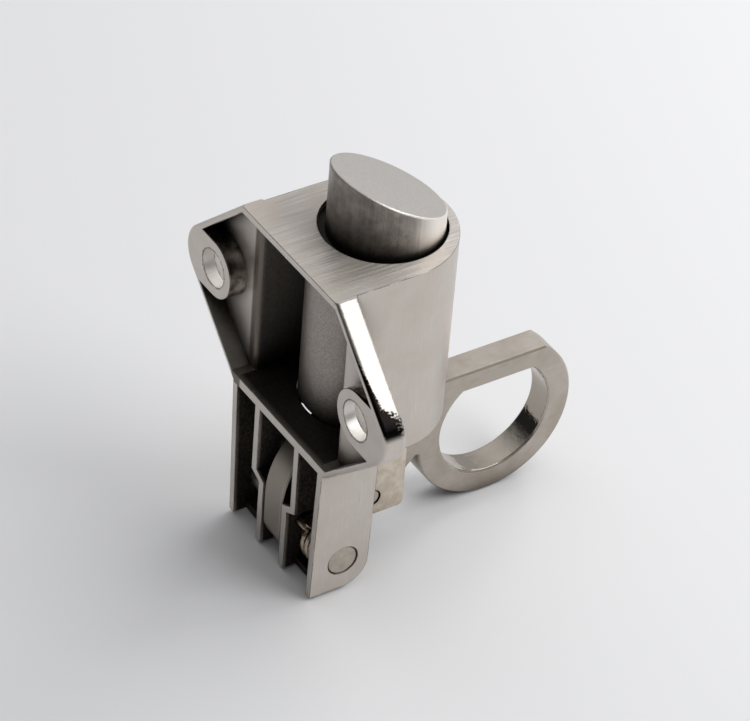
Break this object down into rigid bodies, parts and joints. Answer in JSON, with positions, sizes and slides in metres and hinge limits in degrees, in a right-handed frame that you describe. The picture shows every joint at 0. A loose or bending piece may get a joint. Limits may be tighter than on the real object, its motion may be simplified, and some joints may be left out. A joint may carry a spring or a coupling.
{
  "type": "spring latch",
  "caption": "Spring latch with a slanted bolt in a cast housing, drawn down by a ring lever on a hinge pin below it.",
  "frame": {"origin": "on the mounting plane, midway between the two screw holes", "axes": "+Z along the bolt, towards its nose; +Y away from the mounting plane, towards the pull ring; +X across, through the screw holes"},
  "size_m": [0.039, 0.0366, 0.0482],
  "materials": {
    "nickel_casting": "satin nickel plate on a zinc casting",
    "nickel_bolt": "satin nickel plate on a zinc casting",
    "nickel_lever": "satin nickel plate on a zinc casting",
    "pin_steel": "satin, plated",
    "spring_wire": "drawn wire"
  },
  "bodies": {
    "housing": {"housing": "nickel_casting", "hinge_pin": "pin_steel", "return_spring": "spring_wire"},
    "bolt": {"bolt": "nickel_bolt", "cross_pin": "pin_steel"},
    "ring_lever": {"ring_lever": "nickel_lever"}
  },
  "joints": [
    {"name": "ring_swing", "type": "hinge", "parent": "housing", "child": "ring_lever", "pos_m": [0, 0.0038, -0.0247], "axis": [-1, 0, 0], "range_deg": [0, 59.27], "stiffness_Nm_per_rad": 0.12, "springref_deg": -28.65, "deforming": ["return_spring"]},
    {"name": "bolt_slide", "type": "slide", "parent": "housing", "child": "bolt", "axis": [0, 0, -1], "range_m": [0, 0.008]}
  ],
  "couplings": [
    {"joint": "bolt_slide", "follows": "ring_swing", "m_per_rad": 0.0077329}
  ]
}
